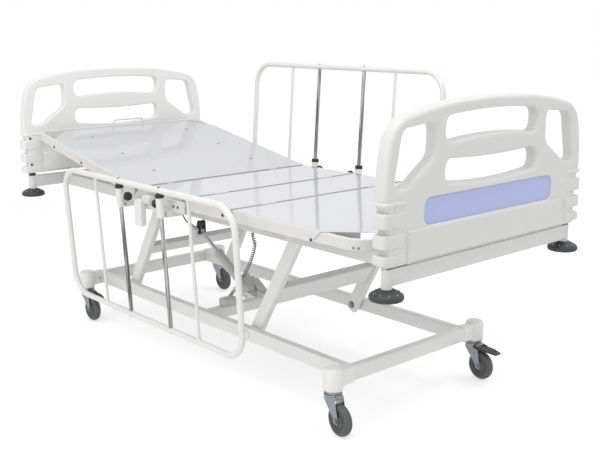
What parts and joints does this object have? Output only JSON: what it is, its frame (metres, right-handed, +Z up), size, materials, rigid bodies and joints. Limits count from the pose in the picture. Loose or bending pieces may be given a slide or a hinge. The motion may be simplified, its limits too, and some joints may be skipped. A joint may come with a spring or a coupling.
{
  "type": "hospital bed",
  "caption": "Height-adjustable hospital bed on casters with moulded end boards, drop-down side rails and a sectioned deck with raised backrest, moved by electric actuators.",
  "frame": {"origin": "on the floor under the middle of the bed's bounding box", "axes": "+X to the foot end, +Y to the side with the raised rail, +Z up"},
  "size_m": [2.26, 1.0508, 1.0989],
  "materials": {
    "white_coat": "smooth white powder coat, semi-gloss",
    "deck_coat": "glossy pale grey-white coated sheet",
    "ivory_plastic": "satin moulded plastic",
    "blue_panel": "satin pale blue panel",
    "zinc": "zinc-plated pressed steel",
    "chrome": "polished",
    "grey_tyre": "dark grey moulded wheel",
    "slate_rubber": "matt slate",
    "black_plastic": "satin black",
    "grey_plastic": "satin mid grey housing",
    "cord_jacket": "matt grey coiled lead"
  },
  "bodies": {
    "base": {"base_frame": "white_coat", "caster_socket_near_head": "ivory_plastic", "caster_socket_near_foot": "ivory_plastic", "caster_socket_far_head": "ivory_plastic", "caster_socket_far_foot": "ivory_plastic"},
    "swivel_near_head": {"caster_fork_near_head": "zinc"},
    "wheel_near_head": {"caster_wheel_near_head": "grey_tyre"},
    "pedal_near_head": {"brake_pedal_near_head": "black_plastic"},
    "swivel_near_foot": {"caster_fork_near_foot": "zinc"},
    "wheel_near_foot": {"caster_wheel_near_foot": "grey_tyre"},
    "swivel_far_head": {"caster_fork_far_head": "zinc"},
    "wheel_far_head": {"caster_wheel_far_head": "grey_tyre"},
    "swivel_far_foot": {"caster_fork_far_foot": "zinc"},
    "wheel_far_foot": {"caster_wheel_far_foot": "grey_tyre"},
    "pedal_far_foot": {"brake_pedal_far_foot": "black_plastic"},
    "head_arms": {"head_lift_arms": "white_coat", "lift_fork": "black_plastic"},
    "foot_arms": {"foot_lift_arms": "white_coat"},
    "upper": {"upper_frame": "white_coat", "bumper_near_head": "slate_rubber", "bumper_near_foot": "slate_rubber", "bumper_far_head": "slate_rubber", "bumper_far_foot": "slate_rubber", "head_board": "ivory_plastic", "foot_board": "ivory_plastic", "foot_board_inset": "blue_panel", "rail_sleeve_near_head": "white_coat", "rail_sleeve_near_foot": "white_coat", "rail_sleeve_far_head": "white_coat", "rail_sleeve_far_foot": "white_coat", "rail_bush_near_head": "black_plastic", "rail_bush_near_foot": "black_plastic", "rail_bush_far_head": "black_plastic", "rail_bush_far_foot": "black_plastic", "seat_panel": "deck_coat", "twin_drive": "grey_plastic", "handset": "ivory_plastic", "release_cable": "black_plastic"},
    "backrest": {"backrest_panel": "deck_coat", "backrest_frame": "white_coat", "mattress_stop": "chrome"},
    "thigh": {"thigh_panel": "deck_coat"},
    "foot_section": {"foot_panel": "deck_coat", "foot_section_frame": "white_coat"},
    "near_rail": {"side_rail_near": "white_coat", "rail_rod_near_head": "chrome", "rail_rod_near_foot": "chrome"},
    "far_rail": {"side_rail_far": "white_coat", "rail_rod_far_head": "chrome", "rail_rod_far_foot": "chrome"},
    "catch_near_head": {"rail_plunger_near_head": "black_plastic"},
    "catch_near_foot": {"rail_plunger_near_foot": "black_plastic"},
    "catch_far_head": {"rail_plunger_far_head": "black_plastic"},
    "catch_far_foot": {"rail_plunger_far_foot": "black_plastic"},
    "motor": {"lift_motor": "grey_plastic"},
    "motor_rod": {"lift_rod": "chrome"},
    "lead": {"lift_cord": "cord_jacket"},
    "back_push": {"backrest_push_rod": "chrome"},
    "leg_push": {"leg_push_rod": "chrome"},
    "keypad": {"handset_buttons": "grey_plastic"}
  },
  "joints": [
    {"name": "caster_swivel_near_head", "type": "hinge", "parent": "base", "child": "swivel_near_head", "pos_m": [-0.7725, -0.36984, 0.1], "axis": [0, 0, 1], "continuous": true},
    {"name": "caster_roll_near_head", "type": "hinge", "parent": "swivel_near_head", "child": "wheel_near_head", "pos_m": [-0.734, -0.37017, 0.052], "axis": [0.0087, 1, 0], "continuous": true},
    {"name": "brake_near_head", "type": "hinge", "parent": "swivel_near_head", "child": "pedal_near_head", "pos_m": [-0.7505, -0.37003, 0.122], "axis": [0.0087, 1, 0], "range_deg": [0, 12]},
    {"name": "caster_swivel_near_foot", "type": "hinge", "parent": "base", "child": "swivel_near_foot", "pos_m": [0.7872, -0.36984, 0.1], "axis": [0, 0, 1], "continuous": true},
    {"name": "caster_roll_near_foot", "type": "hinge", "parent": "swivel_near_foot", "child": "wheel_near_foot", "pos_m": [0.82541, -0.37453, 0.052], "axis": [0.1219, 0.9925, 0], "continuous": true},
    {"name": "caster_swivel_far_head", "type": "hinge", "parent": "base", "child": "swivel_far_head", "pos_m": [-0.7725, 0.34556, 0.1], "axis": [0, 0, 1], "continuous": true},
    {"name": "caster_roll_far_head", "type": "hinge", "parent": "swivel_far_head", "child": "wheel_far_head", "pos_m": [-0.73402, 0.34422, 0.052], "axis": [0.0349, 0.9994, 0], "continuous": true},
    {"name": "caster_swivel_far_foot", "type": "hinge", "parent": "base", "child": "swivel_far_foot", "pos_m": [0.7872, 0.34556, 0.1], "axis": [0, 0, 1], "continuous": true},
    {"name": "caster_roll_far_foot", "type": "hinge", "parent": "swivel_far_foot", "child": "wheel_far_foot", "pos_m": [0.82555, 0.34221, 0.052], "axis": [0.0872, 0.9962, 0], "continuous": true},
    {"name": "brake_far_foot", "type": "hinge", "parent": "swivel_far_foot", "child": "pedal_far_foot", "pos_m": [0.80912, 0.34365, 0.122], "axis": [0.0872, 0.9962, 0], "range_deg": [0, 12]},
    {"name": "lift", "type": "hinge", "parent": "base", "child": "head_arms", "pos_m": [-0.553, -0.01214, 0.178], "axis": [0, -1, 0], "range_deg": [-26, 8]},
    {"name": "level", "type": "hinge", "parent": "head_arms", "child": "upper", "pos_m": [-0.31658, -0.01214, 0.58421], "axis": [0, -1, 0], "range_deg": [-8, 26], "deforming": ["release_cable"]},
    {"name": "foot_arm", "type": "hinge", "parent": "base", "child": "foot_arms", "pos_m": [0.272, -0.01214, 0.178], "axis": [0, -1, 0], "range_deg": [-26, 8]},
    {"name": "motor_swing", "type": "hinge", "parent": "base", "child": "motor", "pos_m": [-0.07, -0.01214, 0.19], "axis": [0, -1, 0], "range_deg": [-1.13, 3.65]},
    {"name": "motor_stroke", "type": "slide", "parent": "motor", "child": "motor_rod", "axis": [-0.8472, 0, 0.5313], "range_m": [-0.1155, 0.0357]},
    {"name": "lead_swing", "type": "hinge", "parent": "motor", "child": "lead", "pos_m": [-0.12294, -0.01814, 0.19216], "axis": [0, -1, 0], "range_deg": [-38.06, 11.78], "deforming": ["lift_cord"]},
    {"name": "backrest", "type": "hinge", "parent": "upper", "child": "backrest", "pos_m": [-0.219, -0.01214, 0.66451], "axis": [0, 1, 0], "range_deg": [-10.5, 59.5]},
    {"name": "thigh", "type": "hinge", "parent": "upper", "child": "thigh", "pos_m": [0.091, -0.01214, 0.66451], "axis": [0, -1, 0], "range_deg": [0, 35]},
    {"name": "foot_fold", "type": "hinge", "parent": "thigh", "child": "foot_section", "pos_m": [0.362, -0.01214, 0.66451], "axis": [0, -1, 0], "range_deg": [-49.8, 0.1]},
    {"name": "back_push", "type": "slide", "parent": "upper", "child": "back_push", "axis": [-1, 0, 0], "range_m": [-0.015, 0.0835]},
    {"name": "leg_push", "type": "slide", "parent": "upper", "child": "leg_push", "axis": [1, 0, 0], "range_m": [-0.0002, 0.0515]},
    {"name": "near_rail_slide", "type": "slide", "parent": "upper", "child": "near_rail", "axis": [0, -0.0619, 0.9981], "range_m": [0, 0.392]},
    {"name": "far_rail_slide", "type": "slide", "parent": "upper", "child": "far_rail", "axis": [0, 0.0619, 0.9981], "range_m": [-0.392, 0]},
    {"name": "catch_near_head", "type": "slide", "parent": "upper", "child": "catch_near_head", "axis": [1, 0, 0], "range_m": [0, 0.008], "stiffness_N_per_m": 400, "springref_m": -0.004},
    {"name": "catch_near_foot", "type": "slide", "parent": "upper", "child": "catch_near_foot", "axis": [-1, 0, 0], "range_m": [0, 0.008], "stiffness_N_per_m": 400, "springref_m": -0.004},
    {"name": "catch_far_head", "type": "slide", "parent": "upper", "child": "catch_far_head", "axis": [1, 0, 0], "range_m": [0, 0.008], "stiffness_N_per_m": 400, "springref_m": -0.004},
    {"name": "catch_far_foot", "type": "slide", "parent": "upper", "child": "catch_far_foot", "axis": [-1, 0, 0], "range_m": [0, 0.008], "stiffness_N_per_m": 400, "springref_m": -0.004},
    {"name": "keypad_press", "type": "slide", "parent": "upper", "child": "keypad", "axis": [0, 1, 0], "range_m": [0, 0.001], "stiffness_N_per_m": 600, "springref_m": -0.001}
  ],
  "couplings": [
    {"joint": "level", "follows": "lift", "ratio": -1},
    {"joint": "foot_arm", "follows": "lift", "ratio": 1},
    {"joint": "motor_swing", "follows": "lift", "ratio": -0.14},
    {"joint": "motor_stroke", "follows": "lift", "m_per_rad": 0.254},
    {"joint": "lead_swing", "follows": "lift", "ratio": 1.46},
    {"joint": "foot_fold", "follows": "thigh", "ratio": -1.42},
    {"joint": "back_push", "follows": "backrest", "m_per_rad": 0.08},
    {"joint": "leg_push", "follows": "thigh", "m_per_rad": 0.0837}
  ]
}
